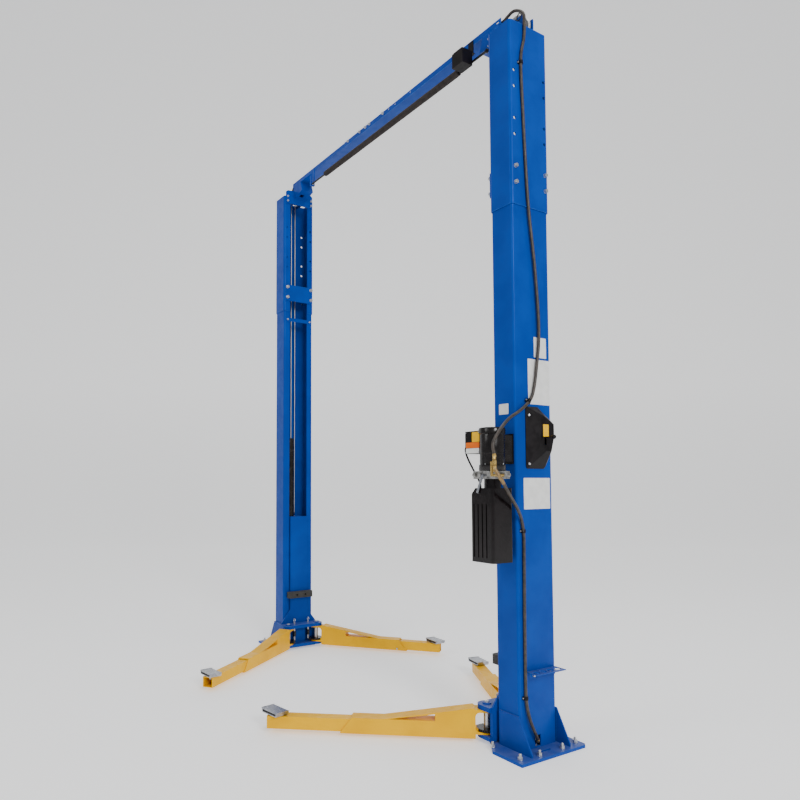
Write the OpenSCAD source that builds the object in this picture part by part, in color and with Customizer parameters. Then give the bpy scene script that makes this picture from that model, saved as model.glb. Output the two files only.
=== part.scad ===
// Two post car lift: two lipped channel columns with an overhead beam, a carriage
// in each column, four telescoping swing arms and a hydraulic power unit.
// Millimetres. +Z is up, the floor is Z = 0, the near column stands at +X and
// the power unit hangs on its -Y side. The far column is its mirror image.

/* [Columns] */
// Inside face of each column, measured from the middle of the lift
col_x = 1250; // [1150:10:1350]
// Depth of the channel, along X
col_d = 155; // [150:5:180]
// Width of the channel, along Y
col_w = 275; // [270:5:300]
// Wall of the channel
wall = 6.4; // [5:0.2:8]
// Outer bend radius of the channel
bend_r = 13; // [10:1:16]
// Half width of the slot between the two lips
slot_w = 85; // [84:1:88]
// Height of the lower channel
col_h = 3150; // [3120:10:3180]
// Bottom edge of the extension sleeve
ext_z = 2882; // [2860:2:2900]
// Top of the extension sleeve
ext_top = 3900; // [3880:5:3960]
// Distance between the two holes of one pair
pair_gap = 89; // [80:1:95]
// Distance from one pair of holes to the next
pair_step = 266; // [250:1:270]
// Distance of the hole rows from the middle of the column
hole_y = 115; // [110:1:118]
// Diameter of the sleeve holes
hole_d = 18; // [14:1:20]

/* [Base] */
// Thickness of the base plate
base_t = 16; // [12:1:18]
// Half width of the base plate, along Y
base_y = 242; // [235:1:260]
// Outer edge of the base plate, from the middle of the lift
base_x1 = 1517; // [1510:1:1560]
// Inner edge of the base plate, from the middle of the lift
base_x0 = 1190; // [1180:1:1200]
// Height of the gusset plates
gusset_h = 194; // [150:2:230]
// Thickness of the gusset plates
gusset_t = 8; // [6:1:10]
// Diameter of the anchor holes
anchor_d = 20; // [18:1:24]

/* [Overhead beam] */
// Half width of the outer beam half
beam_w = 55; // [54:1:58]
// Height of the beam flanges
beam_h = 35; // [30:1:45]
// Wall of the beam
beam_t = 4; // [3:0.5:4.5]
// Underside of the outer beam half above the floor
beam_z = 3990; // [3985:1:4000]
// Half length of the beam
beam_l = 1262; // [1255:1:1262]
// Radius at which the cable lies on the head sheave
sheave_r = 62; // [60:1:63]
// Diameter of the equalizing cables
cable_d = 9; // [8:0.5:10]

/* [Shut-off bar] */
// Height of the bar
bar_z = 3874; // [3870:1:3880]
// Diameter of the foam sleeve
foam_d = 42; // [36:1:44]

/* [Carriage] */
// Top of the carriage at the lowest position
car_top = 1098; // [1060:2:1110]
// Half width of the carriage's front plate
car_w = 78; // [74:1:79]
// Distance of the arm pivots from the middle of the lift
pivot_x = 1165; // [1160:1:1170]
// Distance of the arm pivots from the middle of the column
pivot_y = 133; // [130:1:136]
// Diameter of the arm pivot pins
pin_d = 36; // [32:1:38]
// Radius of the rounded clevis ends
clevis_r = 50; // [42:1:52]
// Length of the black cylinder barrel
barrel_l = 1715; // [1700:5:1720]
// Diameter of the cylinder barrel
barrel_d = 76; // [74:1:78]
// Diameter of the chrome rod
rod_d = 45; // [40:1:46]

/* [Arms] */
// Length of the outer arm tube, from its pivot
arm_l = 800; // [790:5:820]
// Half width of the outer arm
arm_w = 44; // [43:0.5:45]
// Wall of the outer arm
arm_t = 6; // [5:0.5:6.5]
// Height of the outer arm tube
arm_h = 85; // [84:1:88]
// Height of the raised arm root above the floor
root_z = 180; // [176:1:184]
// Length of the inner arm tube
reach_l = 730; // [700:5:740]
// Distance from pivot to tip, arms on the power unit side
tip_front = 1210; // [1190:5:1230]
// Distance from pivot to tip, arms on the other side
tip_rear = 1070; // [1060:5:1090]
// Length of the lifting pad
pad_l = 144; // [130:2:150]
// Width of the lifting pad
pad_w = 86; // [80:2:94]
// Height of the pad above the arm's tip
pad_h = 30; // [28:1:36]
// Angles of the pads from the line between the columns, as they were left
pad_turn = [9, -4, 6, -14]; // [-30:1:30]

/* [Power unit] */
// Radius of the motor
motor_r = 66; // [62:1:67]
// Length of the motor
motor_l = 226; // [215:1:228]
// Width of the tank, along X
tank_w = 160; // [150:2:164]
// Depth of the tank, along Y
tank_d = 145; // [130:1:146]
// Height of the tank
tank_h = 380; // [340:5:384]
// Diameter of the hydraulic hoses
hose_d = 17; // [15:0.5:18]

/* [Hidden] */
$fn = 48;
eps = 0.01;
gap = 1;
pin_gap = 0.08;
col_back = col_x + col_d;
col_mid = col_x + col_d / 2;
sleeve_back = col_back + wall;
lip_face = col_x - wall;
rod_x = col_x + 75;
rod_y = -45;
cable_y = [0, 36];
cable_x = col_back - 20;
sheave_x = cable_x - sheave_r;
sheave_z = beam_z + beam_t + cable_d - sheave_r;
sheave_t = 20;
axle_d = 30;
plate_z = [beam_z - 155, beam_z - 40];
hole_z = ext_z + 118;
front_t = 10;
front_x = pivot_x + 69;
low_z = [22, 42];
high_z = [172, 197];
pin_top = high_z[1];
tube_z = 20;
tube_top = tube_z + arm_h;
tip_w = arm_w - arm_t - gap;
tip_z = [tube_z + arm_t + gap, tube_top - arm_t - 4];
tip_t = 5;
pad_back = 40;
swing = [51.2, 39.9, 53.8, 30.1];
restraint_x = pivot_x + 20;
restraint_y = 65;
gear_r = 58;
hook_x = [pivot_x + 5, -880];
bar_y = -beam_w - 20;
motor_x = 1360;
motor_gap = 57.5;
motor_y = -col_w / 2 - motor_gap - motor_r;
motor_z = 1452;
block_z = [1412, 1452];
tank_z = 985;
tank_x = motor_x + 67 - tank_w;
tank_y = -330;
lever_y = tank_y - 9;
drop_x = col_back - 33;
drop_y = -98;
tube_r = hose_d / 2;
skin = sleeve_back + tube_r;

// A child built at the near column, or mirrored to the far one.
module at_side(side) {
    if (side > 0) children();
    else mirror([1, 0, 0]) children();
}

// A child placed once at +Y and once at -Y.
module both_y() {
    children();
    mirror([0, 1, 0]) children();
}

// A bar along +Z between two heights.
module slab(x0, x1, y0, y1, z0, z1) {
    translate([x0, y0, z0]) cube([x1 - x0, y1 - y0, z1 - z0]);
}

module round_rect(w, d, r) {
    square([w, d - 2 * r], center = true);
    square([w - 2 * r, d], center = true);
    for (x = [-1, 1], y = [-1, 1]) translate([x * (w / 2 - r), y * (d / 2 - r)]) circle(r);
}

// A lipped channel whose slot faces the middle of the lift.
module channel(grow, z0, z1) {
    translate([col_mid, 0, z0]) linear_extrude(z1 - z0) difference() {
        round_rect(col_d + 2 * grow, col_w + 2 * grow, bend_r + grow);
        round_rect(col_d + 2 * (grow - wall), col_w + 2 * (grow - wall), bend_r + grow - wall);
        translate([-col_d, -slot_w]) square([col_d, 2 * slot_w]);
    }
}

// Rows of holes through lips and back, at the given pair numbers.
module hole_rows(pairs) {
    for (n = pairs, k = [0, 1], y = [-1, 1])
        translate([col_x - 30, y * hole_y, hole_z + n * pair_step + k * pair_gap])
            rotate([0, 90, 0]) cylinder(d = hole_d, h = col_d + 60);
}

module column() {
    difference() {
        channel(0, base_t, col_h);
        hole_rows([0]);
        slab(col_mid, col_back + 20, -25, 16, base_t + 5, base_t + 62);
    }
    difference() {
        linear_extrude(base_t) polygon([[base_x0, -140], [base_x0, 140], [1315, base_y],
            [base_x1 - 14, base_y], [base_x1, base_y - 14], [base_x1, -base_y], [1315, -base_y]]);
        for (x = [1280, 1470], y = [-205, 205]) translate([x, y, -1]) cylinder(d = anchor_d, h = base_t + 2);
        for (y = [-85, 85]) translate([1487, y, -1]) cylinder(d = anchor_d, h = base_t + 2);
        slab(1450, 1460, -43, 32, -1, base_t + 1);
    }
    both_y() translate([0, col_w / 2 + gusset_t, 0]) rotate([90, 0, 0])
        linear_extrude(gusset_t) polygon([[col_x + 20, base_t - eps], [col_back + 86, base_t - eps],
            [col_back + 86, base_t + 14], [col_back, gusset_h], [col_x + 20, gusset_h]]);
}

module extension() {
    difference() {
        channel(wall, ext_z, ext_top);
        hole_rows([0, 1, 2]);
    }
}

// Cross plate and strap that tie the lips of the sleeve together.
module bridge() {
    difference() {
        slab(lip_face - 8, lip_face, -132, 132, hole_z - 30, hole_z + pair_gap + 21);
        hole_rows([0]);
    }
    slab(col_x - 5, col_x, -124, 124, ext_z - 90, ext_z - 60);
}

// Sheave bracket, beam saddle and lip plate at the column head.
module head() {
    difference() {
        translate([lip_face, 0, 0]) rotate([0, -90, 0]) linear_extrude(8)
            polygon([[plate_z[0], -130], [plate_z[1] - 14, -130], [plate_z[1], -112],
                [plate_z[1], 112], [plate_z[1] - 14, 130], [plate_z[0], 130]]);
        for (y = [-1, 1], z = [plate_z[0] + 20, plate_z[0] + 60])
            translate([lip_face - 20, y * hole_y, z]) rotate([0, 90, 0]) cylinder(d = 12, h = 40);
    }
    for (y = [cable_y[0] - 24, cable_y[1] + 16])
        slab(lip_face - eps, col_back - wall - 2, y, y + 8, sheave_z - 75, sheave_z + 35);
    translate([sheave_x, cable_y[0] - 20, sheave_z]) rotate([-90, 0, 0])
        cylinder(d = axle_d, h = cable_y[1] - cable_y[0] + 40);
    both_y() translate([0, beam_w, 0]) rotate([90, 0, 0]) linear_extrude(6)
        polygon([[lip_face - 8 + eps, sheave_z - 60], [lip_face - 8 + eps, beam_z],
            [lip_face - 130, beam_z], [lip_face - 155, sheave_z - 30]]);
    difference() {
        translate([0, beam_w, 0]) rotate([90, 0, 0]) linear_extrude(2 * beam_w) difference() {
            polygon([[lip_face - 8 + eps, sheave_z - 60], [lip_face - 8 + eps, beam_z],
                [lip_face - 130, beam_z], [lip_face - 155, sheave_z - 30]]);
            polygon([[lip_face, sheave_z - 52], [lip_face, beam_z - 6],
                [lip_face - 126, beam_z - 6], [lip_face - 148, sheave_z - 25]]);
        }
        slab(lip_face - 90, lip_face - 50, -30, 6, sheave_z - 70, beam_z - 7);
    }
    slab(lip_face - 8, lip_face, -beam_w, beam_w, plate_z[1] - eps, beam_z);
}

module sheaves() {
    for (y = cable_y) translate([sheave_x, y + sheave_t / 2, sheave_z]) rotate([90, 0, 0])
        rotate_extrude() polygon([[axle_d / 2, 0], [sheave_r + 4, 0], [sheave_r - cable_d / 2, 7],
            [sheave_r - cable_d / 2, sheave_t - 7], [sheave_r + 4, sheave_t], [axle_d / 2, sheave_t]]);
}

// Upward channel; step moves the inner half inside the outer one.
module beam_channel(x0, x1, step) {
    difference() {
        slab(x0, x1, step - beam_w, beam_w - step, beam_z + step, beam_z + beam_h);
        slab(x0 - 1, x1 + 1, step + beam_t - beam_w, beam_w - step - beam_t,
            beam_z + step + beam_t, beam_z + beam_h + 1);
    }
}

module beam_near() {
    color("royalblue") difference() {
        beam_channel(-400, beam_l, 0);
        slab(1225, 1247, -beam_w - 1, beam_t - beam_w + 1, beam_z + 14, beam_z + 22);
        for (x = [180, 255, 425]) translate([x, -beam_w - 1, beam_z + 24]) rotate([-90, 0, 0])
            cylinder(d = 11, h = 2 * beam_w + 2);
    }
}

module beam_far() {
    color("royalblue") {
        beam_channel(-beam_l, 140, beam_t);
        slab(-beam_l, lip_face * -1 + 130, beam_t - beam_w, beam_w - beam_t, beam_z, beam_z + beam_t);
        difference() {
            slab(hook_x[1] - 8, hook_x[1] + 8, bar_y - 14, beam_t - beam_w, bar_z - 14, beam_z + beam_t);
            slab(hook_x[1] - 9, hook_x[1] + 9, bar_y - 10, beam_t - beam_w - 6, bar_z - 7, beam_z + beam_t + 1);
            slab(hook_x[1] - 9, hook_x[1] + 9, bar_y - 15, bar_y - 9, bar_z + 70, beam_z + beam_t + 1);
        }
        slab(hook_x[1] - 8, hook_x[1] + 8, beam_t - beam_w - 6, beam_t - beam_w, beam_z, beam_z + 20);
    }
}

module switch_box() {
    color("dimgray") {
        slab(1000, 1040, -beam_w - 6, -beam_w, beam_z - 65, beam_z + 26);
        slab(985, 1055, -165, -beam_w - 5, beam_z - 65, beam_z - 60);
        slab(975, 1065, -168, bar_y - 15, beam_z - 152, beam_z - 65);
    }
}

module shutoff_bar() {
    color("silver") difference() {
        union() {
            translate([hook_x[1] - 20, bar_y, bar_z]) rotate([0, 90, 0]) cylinder(d = 14, h = hook_x[0] - hook_x[1] + 20);
            translate([hook_x[0], bar_y + 5, bar_z]) rotate([90, 0, 0]) cylinder(d = 24, h = 10);
        }
        translate([hook_x[0], bar_y + 20, bar_z]) rotate([90, 0, 0]) cylinder(d = 10 + 2 * pin_gap, h = 40);
    }
}

module shutoff_foam() {
    color("saddlebrown") translate([-655, bar_y, bar_z]) rotate([0, 90, 0]) difference() {
        cylinder(d = foam_d, h = 1585);
        translate([0, 0, -1]) cylinder(d = 14, h = 1587);
    }
}

// One equalizing cable: over both head sheaves and down both columns.
module cable(y) {
    color("silver") {
        for (side = [1, -1]) at_side(side) {
            translate([cable_x, y, base_t]) cylinder(d = cable_d, h = sheave_z - base_t);
            translate([sheave_x, y, sheave_z]) rotate([90, 0, 0])
                rotate_extrude(angle = 90) translate([sheave_r, 0]) circle(d = cable_d);
        }
        translate([-sheave_x, y, sheave_z + sheave_r]) rotate([0, 90, 0]) cylinder(d = cable_d, h = 2 * sheave_x);
    }
}

module rod() {
    translate([rod_x, rod_y, base_t]) {
        cylinder(d = 84, h = 30);
        cylinder(d = rod_d, h = barrel_l);
        translate([0, 0, barrel_l]) cylinder(d = barrel_d - 11, h = 18);
    }
}

module cylinder_body() {
    translate([rod_x, rod_y, 60]) difference() {
        union() {
            cylinder(d = barrel_d, h = barrel_l);
            cylinder(d = barrel_d + 8, h = 50);
        }
        translate([0, 0, 42]) cylinder(d = barrel_d - 10, h = barrel_l - 54);
        translate([0, 0, -1]) cylinder(d = rod_d + 2 * pin_gap, h = 60);
    }
}

// Outline of both clevis plates, with room for the pivots.
module clevis_plate() {
    difference() {
        union() {
            for (y = [-pivot_y, pivot_y]) translate([pivot_x, y]) circle(clevis_r);
            translate([pivot_x - clevis_r + 8, -pivot_y]) square([front_x - pivot_x + clevis_r - 8 + eps, 2 * pivot_y]);
            translate([pivot_x, -pivot_y - clevis_r]) square([front_x - pivot_x + eps, 2 * (pivot_y + clevis_r)]);
        }
        for (y = [-pivot_y, pivot_y]) translate([pivot_x, y]) circle(d = pin_d);
        for (y = [-restraint_y, restraint_y]) translate([restraint_x, y]) circle(d = 14 + 2 * pin_gap);
    }
}

module carriage() {
    back_x = front_x + front_t;
    inner_y = col_w / 2 - wall;
    web_x = col_x + wall + 9;
    end_x = col_back - wall - 14;
    translate([front_x, 0, 0]) rotate([90, 0, 90]) linear_extrude(front_t)
        polygon([[-car_w, car_top], [car_w, car_top], [car_w, 312], [pivot_y + 34, high_z[1]],
            [pivot_y + 34, low_z[0]], [-pivot_y - 34, low_z[0]], [-pivot_y - 34, high_z[1]], [-car_w, 312]]);
    for (z = [low_z, high_z]) translate([0, 0, z[0]]) linear_extrude(z[1] - z[0]) clevis_plate();
    slab(restraint_x + 16, front_x + eps, -46, 46, low_z[1] - eps, high_z[0] + eps);
    both_y() {
        slab(front_x - 10, front_x + eps, pivot_y + 26, pivot_y + 34, low_z[1] - eps, high_z[0] + eps);
        slab(back_x - eps, web_x + 10, car_w - 10, car_w, 80, car_top);
        slab(web_x, web_x + 10, car_w - 10, inner_y - 9, 80, car_top);
        slab(web_x, end_x, inner_y - 17, inner_y - 9, 80, car_top);
        for (z = [80, car_top - 220]) {
            slab(col_x + wall + gap, web_x + eps, car_w + 14, inner_y - 12, z, z + 220);
            slab(web_x, end_x + 8, inner_y - 9 - eps, inner_y - gap - 1, z, z + 220);
        }
    }
    difference() {
        slab(web_x, cable_x - 12, 17 - inner_y, 70, car_top - 14, car_top);
        translate([rod_x, rod_y, car_top - 20]) cylinder(d = barrel_d, h = 30);
        slab(drop_x - 16, cable_x, -inner_y, drop_y + 16, car_top - 20, car_top + 10);
    }
    slab(web_x, end_x, 9 - inner_y, 18 - inner_y, car_top - 14, car_top);
    translate([cable_x - 26, cable_y[1], car_top - eps]) cylinder(d = 16, h = 34);
    translate([cable_x - 26, cable_y[1], car_top - eps]) cylinder(d = 24, h = 14, $fn = 6);
}

// Rubber strip that keeps car doors off the carriage.
module guard() {
    difference() {
        union() {
            slab(front_x - 38, front_x, -112, 112, 412, 464);
            slab(front_x - 50, front_x - 37, -100, 100, 412, 464);
            for (y = [-100, 100]) translate([front_x - 38, y, 412]) cylinder(r = 12, h = 52);
        }
        for (y = [-40, 40]) translate([front_x - 60, y, 438]) rotate([0, 90, 0]) cylinder(d = 16, h = 34);
    }
}

module pivot_pins() {
    for (y = [-pivot_y, pivot_y]) translate([pivot_x, y, 0]) {
        translate([0, 0, low_z[0] - 3]) cylinder(d = pin_d, h = pin_top - low_z[0] + 9);
        translate([0, 0, pin_top]) cylinder(d = pin_d + 12, h = 6);
    }
}

module gear_2d() {
    n = 30;
    polygon([for (i = [0 : 4 * n - 1]) let (a = i * 90 / n, r = (i % 4 < 2) ? gear_r : gear_r - 6)
        [r * cos(a), r * sin(a)]]);
}

// Arm profile in length and height, without the fork.
module arm_side() {
    polygon([[64, tube_z], [arm_l, tube_z], [arm_l - 66, tube_top], [560, tube_top],
        [74, root_z], [64, root_z - 8]]);
}

// Outer arm: pivot at the origin, pointing along +X.
module arm_outer() {
    fork_z = [low_z[1] + gap, high_z[0] - gap];
    difference() {
        union() {
            difference() {
                translate([0, arm_w, 0]) rotate([90, 0, 0]) linear_extrude(2 * arm_w) arm_side();
                translate([0, arm_w - arm_t, 0]) rotate([90, 0, 0]) linear_extrude(2 * (arm_w - arm_t))
                    polygon([[96, tube_z + arm_t], [arm_l + 1, tube_z + arm_t], [arm_l + 1, tube_top - arm_t],
                        [300, tube_top - arm_t], [272, tube_top], [272, 138], [96, root_z - 15]]);
                translate([0, arm_w + 1, 0]) rotate([90, 0, 0]) linear_extrude(2 * arm_w + 2)
                    polygon([[280, tube_top], [535, tube_top], [280, 141]]);
            }
            for (z = [[fork_z[0], fork_z[0] + 12], [fork_z[1] - 13, fork_z[1]]]) {
                slab(0, 65, -arm_w, arm_w, z[0], z[1]);
                translate([0, 0, z[0]]) cylinder(r = arm_w, h = z[1] - z[0]);
            }
            translate([0, 0, fork_z[0] + 12 - eps]) linear_extrude(15) gear_2d();
            slab(50, 66, -30, 30, fork_z[0] + 6, fork_z[0] + 27);
        }
        cylinder(d = pin_d + 2 * pin_gap, h = root_z + 20);
        translate([arm_l - 78, -arm_w - 1, tube_z + 14]) rotate([-90, 0, 0]) cylinder(d = 9, h = arm_t + 2);
    }
}

// Inner arm tube with the pad socket at its end.
module arm_inner(tip) {
    translate([tip - reach_l, 0, 0]) difference() {
        slab(0, reach_l, -tip_w, tip_w, tip_z[0], tip_z[1]);
        slab(-1, reach_l + 1, tip_t - tip_w, tip_w - tip_t, tip_z[0] + tip_t, tip_z[1] - tip_t);
        translate([reach_l - pad_back, 0, 50]) cylinder(d = 30 + 2 * pin_gap, h = 80);
    }
}

// Stamped flip-up pad: origin on its socket axis, on top of the inner arm.
module pad_body() {
    foot = pad_l / 2 - 8;
    rim = pad_l / 2 + 2;
    translate([0, 0, -22]) cylinder(d = 30, h = 24);
    cylinder(d = 66, h = 5 + eps);
    translate([0, pad_w / 2, 0]) rotate([90, 0, 0]) linear_extrude(pad_w) difference() {
        polygon([[-foot, 5], [foot, 5], [rim, pad_h], [rim - 8, pad_h - 3], [8 - rim, pad_h - 3], [-rim, pad_h]]);
        polygon([[4 - foot, 10], [foot - 4, 10], [rim - 9, pad_h - 8], [9 - rim, pad_h - 8]]);
    }
}

// Places a child at one arm pivot: side of the lift and side of the column.
module at_pivot(side, rear, angle) {
    translate([side * pivot_x, rear * pivot_y, 0])
        rotate([0, 0, atan2(rear * sin(angle), -side * cos(angle))]) children();
}

module pad(side, rear, angle, tip, turn) {
    color("gainsboro") at_pivot(side, rear, angle) translate([tip - pad_back, 0, tip_z[1]])
        rotate([0, 0, -atan2(rear * sin(angle), -side * cos(angle)) + turn]) pad_body();
}

// Spring pin with pull ring that locks the arm gear.
module restraint(rear) {
    translate([restraint_x, rear * restraint_y, 0]) {
        translate([0, 0, 64]) cylinder(d = 14, h = high_z[1] - 64 + 20);
        translate([-12, -9, 96]) cube([24, 18, 40]);
        translate([0, 0, high_z[1] + 32]) rotate([90, 0, 0]) rotate_extrude() translate([14, 0]) circle(3, $fn = 24);
    }
}

module unit_bracket() {
    color("dimgray") difference() {
        union() {
            slab(1300, 1392, -col_w / 2 - 6, -col_w / 2, 1490, 1648);
            slab(1322, 1390, -col_w / 2 - 64, -col_w / 2 - 5, 1500, 1640);
        }
        translate([motor_x, motor_y, 1400]) cylinder(r = motor_r, h = 400);
        slab(1330, 1382, -col_w / 2 - 57, -col_w / 2 - 12, 1499, 1632);
    }
}

module motor() {
    color("dimgray") translate([motor_x, motor_y, motor_z]) {
        cylinder(r = motor_r - 4, h = motor_l);
        cylinder(r = motor_r + 3, h = 34);
        translate([0, 0, 60]) cylinder(r = motor_r, h = motor_l - 100);
        translate([0, 0, motor_l - 34]) cylinder(r = motor_r + 3, h = 34);
    }
}

module motor_box() {
    color("black") difference() {
        slab(1208, motor_x - 40, motor_y - 48, motor_y + 44, 1545, 1664);
        translate([motor_x, motor_y, 1500]) cylinder(r = motor_r + 3, h = 400);
    }
}

module valve_block() {
    color("silver") {
        slab(1275, 1432, motor_y - 55, motor_y + 50, block_z[0], block_z[1]);
        translate([1400, motor_y - 68, 1436]) rotate([-90, 0, 0]) cylinder(d = 26, h = 14);
        slab(1432 - eps, 1456, motor_y - 12, motor_y + 12, 1420, 1444);
    }
}

module tank() {
    r = 14;
    color("black") translate([motor_x, motor_y, tank_z + tank_h - eps]) cylinder(r = 44, h = block_z[0] - tank_z - tank_h + eps);
    color("black") difference() {
        translate([tank_x + tank_w / 2, tank_y + tank_d / 2, tank_z]) linear_extrude(tank_h) round_rect(tank_w, tank_d, r);
        translate([0, tank_y - 1, 0]) mirror([0, 1, 0]) rotate([90, 0, 0]) linear_extrude(tank_d + 2)
            polygon([[tank_x - 1, tank_z + tank_h - 42], [tank_x - 1, tank_z + tank_h + 1], [tank_x + 38, tank_z + tank_h + 1]]);
        for (k = [0 : 3]) slab(tank_x + 22 + k * 30, tank_x + 30 + k * 30, tank_y - 1, tank_y + 4, tank_z + 25, tank_z + tank_h - 82);
    }
}

module pump_lever() {
    color("silver") {
        translate([1366, motor_y - 55, 1430]) rotate([90, 0, 0]) cylinder(d = 12, h = motor_y - 55 - lever_y);
        translate([1366, lever_y, 1430]) rotate([0, 203, 0]) translate([-7, -2, 0]) cube([14, 4, 98]);
    }
}

// One cross-section of the release cover, parallel to the column's back.
module cover_rim(i) {
    polygon([[i - 64, 1476 + i], [i - 64, 1797 - i], [28 - i / 2, 1797 - i], [104 - i, 1738 - i / 2],
        [104 - i, 1632], [84 - i, 1478 + i], [70 - i, 1466 + i], [i - 56, 1466 + i]]);
}

module cover_crown(i) {
    polygon([[i - 1, 1598], [i - 1, 1739 - i], [26, 1744 - i], [99 - i, 1704], [99 - i, 1634], [78, 1560 + i], [40, 1560 + i]]);
}

// Hollow cover over the lock release, with a slot for its lever.
module release_cover() {
    color("black") difference() {
        translate([col_back, 0, 0]) rotate([90, 0, 90]) hull() {
            linear_extrude(4) cover_rim(0);
            linear_extrude(52) cover_crown(0);
        }
        translate([col_back - 1, 0, 0]) rotate([90, 0, 90]) hull() {
            linear_extrude(3) cover_rim(4);
            linear_extrude(49) cover_crown(4);
        }
        slab(col_back + 30, col_back + 60, 25, 39, 1592, 1646);
    }
    color("black") slab(col_back, col_back + 30, 15, 24, 1600, 1664);
}

module release_lever() {
    color("dimgray") {
        translate([col_back + 18, 24, 1632]) rotate([-90, 0, 0]) cylinder(d = 18, h = 16);
        translate([col_back + 18, 32, 1632]) rotate([0, 90, 0]) cylinder(d = 8, h = 84);
        translate([col_back + 108, 32, 1632]) sphere(d = 24);
    }
}

module adapter_rack() {
    color("royalblue") {
        slab(col_back, col_back + 4, -86, 130, 372, 413);
        difference() {
            slab(col_back, col_back + 78, -86, 130, 409, 413);
            for (y = [-52, 0, 52, 104]) translate([col_back + 42, y - 4, 400]) cylinder(d = 38, h = 20);
        }
    }
}

// Point on the smooth curve between p[1] and p[2], t from 0 to 1.
function spline(p, t) = 0.5 * (2 * p[1] + (p[2] - p[0]) * t
    + (2 * p[0] - 5 * p[1] + 4 * p[2] - p[3]) * t * t + (3 * p[1] - p[0] - 3 * p[2] + p[3]) * t * t * t);

function unit(v) = v / norm(v);

// The curve through all points, with four steps between neighbours.
function curve(p) = let (n = len(p)) concat([for (i = [0 : n - 2], k = [0 : 3])
    spline([p[max(i - 1, 0)], p[i], p[i + 1], p[min(i + 2, n - 1)]], k / 4)], [p[n - 1]]);

// Round hose along a smooth curve: rings square to the curve, carried along without twist.
module hose(pts) {
    c = curve(pts);
    n = len(c);
    m = 10;
    dir = [for (i = [0 : n - 1]) unit(c[min(i + 1, n - 1)] - c[max(i - 1, 0)])];
    side = [for (i = 0, u = unit(cross(dir[0], [0.3, 0.9, 0.2])); i < n;
        i = i + 1, u = i < n ? unit(u - (u * dir[i]) * dir[i]) : u) u];
    polyhedron(points = [for (i = [0 : n - 1], k = [0 : m - 1])
            c[i] + tube_r * (cos(k * 360 / m) * side[i] + sin(k * 360 / m) * cross(dir[i], side[i]))],
        faces = concat([[for (k = [0 : m - 1]) k]], [[for (k = [m - 1 : -1 : 0]) (n - 1) * m + k]],
            [for (i = [0 : n - 2], k = [0 : m - 1])
                [i * m + k, (i + 1) * m + k, (i + 1) * m + (k + 1) % m, i * m + (k + 1) % m]]));
}

tee = [1466, -352, 1492];

// Point beside the foot of a rod, where a hose screws in: angle round the foot, distance out from it.
function foot_port(a, out = 0) = [rod_x + (42.2 + out) * cos(a), rod_y + (42.2 + out) * sin(a)];

// Supply hose: up the near column, through the beam and down the far column.
module hose_up() {
    tray = beam_z + beam_t + 5 + tube_r;
    color("saddlebrown") hose([tee + [0, 0, 12.1], [1465.2, -352.1, 1535], [1459, -353, 1588], [1454, -312, 1645],
        [1435, -245, 1696], [1415, -180, 1733], [skin + 2, -124, 1767], [skin + 1, -62, 1811], [skin + 1, -18, 1870],
        [skin + 1, 12, 2010], [skin + 1, 35, 2216], [skin + 1, 12, 2541], [skin + 1, -34, 2918],
        [skin + 1, -62, 3410], [skin + 1, -71, 3686], [skin + 1, -45, 3815], [skin + 1, -40, 3900],
        [skin - 10, -38, 3968], [1340, -34, tray + 14], [1262, -33, tray + 3], [1190, -33, tray + 1], [1080, -33, tray + 1],
        [800, -33, tray + 1], [300, -33, tray + 1], [-300, -33, tray + 1], [-800, -33, tray + 1], [-1080, -33, tray + 1],
        [-1190, -33, tray + 2], [-1252, -34, tray + 6], [-1292, -37, beam_z - 8], [-1306, -42, 3900],
        [-1332, -63, 3840], [-1364, -92, 3760], [-drop_x, drop_y, 3670], [-drop_x, drop_y, 3540], [-drop_x, drop_y, 3250],
        [-drop_x, drop_y, 2600], [-drop_x, drop_y, 1500], [-drop_x, drop_y, 700], [-drop_x, drop_y, 300], [-drop_x, drop_y, 140],
        [-drop_x, drop_y, 72], [-foot_port(-48, 22)[0], foot_port(-48, 22)[1], base_t + 26],
        [-foot_port(-48, 12)[0], foot_port(-48, 12)[1], base_t + 18], [-foot_port(-48)[0], foot_port(-48)[1], base_t + 18]]);
}

// Supply hose: from the tee down the near column to its cylinder rod.
module hose_down() {
    color("saddlebrown") hose([tee - [0, 0, 12.1], [1467.9, -351, 1462], [1484, -342, 1428], [1491, -318, 1392],
        [1482, -276, 1344], [1464, -222, 1298], [1446, -172, 1255], [skin + 2, -120, 1200],
        [skin - wall + 2, -98, 1120], [skin - wall + 1, -97, 1000], [skin - wall + 1, -99, 750], [skin - wall + 1, -100, 500],
        [skin - wall + 1, -100, 360], [skin - wall + 4, -98, 260], [col_back + 18, -82, 180], [col_back + 24, -60, 120],
        [col_back + 22, -34, 76], [col_back + 6, -16, 50], [foot_port(22, 28)[0], foot_port(22, 28)[1], base_t + 21],
        [foot_port(22, 12)[0], foot_port(22, 12)[1], base_t + 18], [foot_port(22)[0], foot_port(22)[1], base_t + 18]]);
}

// Brass tee where both hoses leave the power unit, and the stub to its valve block.
module hose_tee() {
    color("goldenrod") {
        translate(tee - [0, 0, 12]) cylinder(d = 22, h = 24);
        translate([1452, -352, tee[2]]) rotate([0, 90, 0]) cylinder(d = 14, h = 8);
        translate([1447, -352, 1424]) cylinder(d = 14, h = tee[2] - 1418);
        translate([1447, -352, 1430]) rotate([-90, 0, 0]) cylinder(d = 14, h = motor_y - 12 + 352);
    }
}

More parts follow.
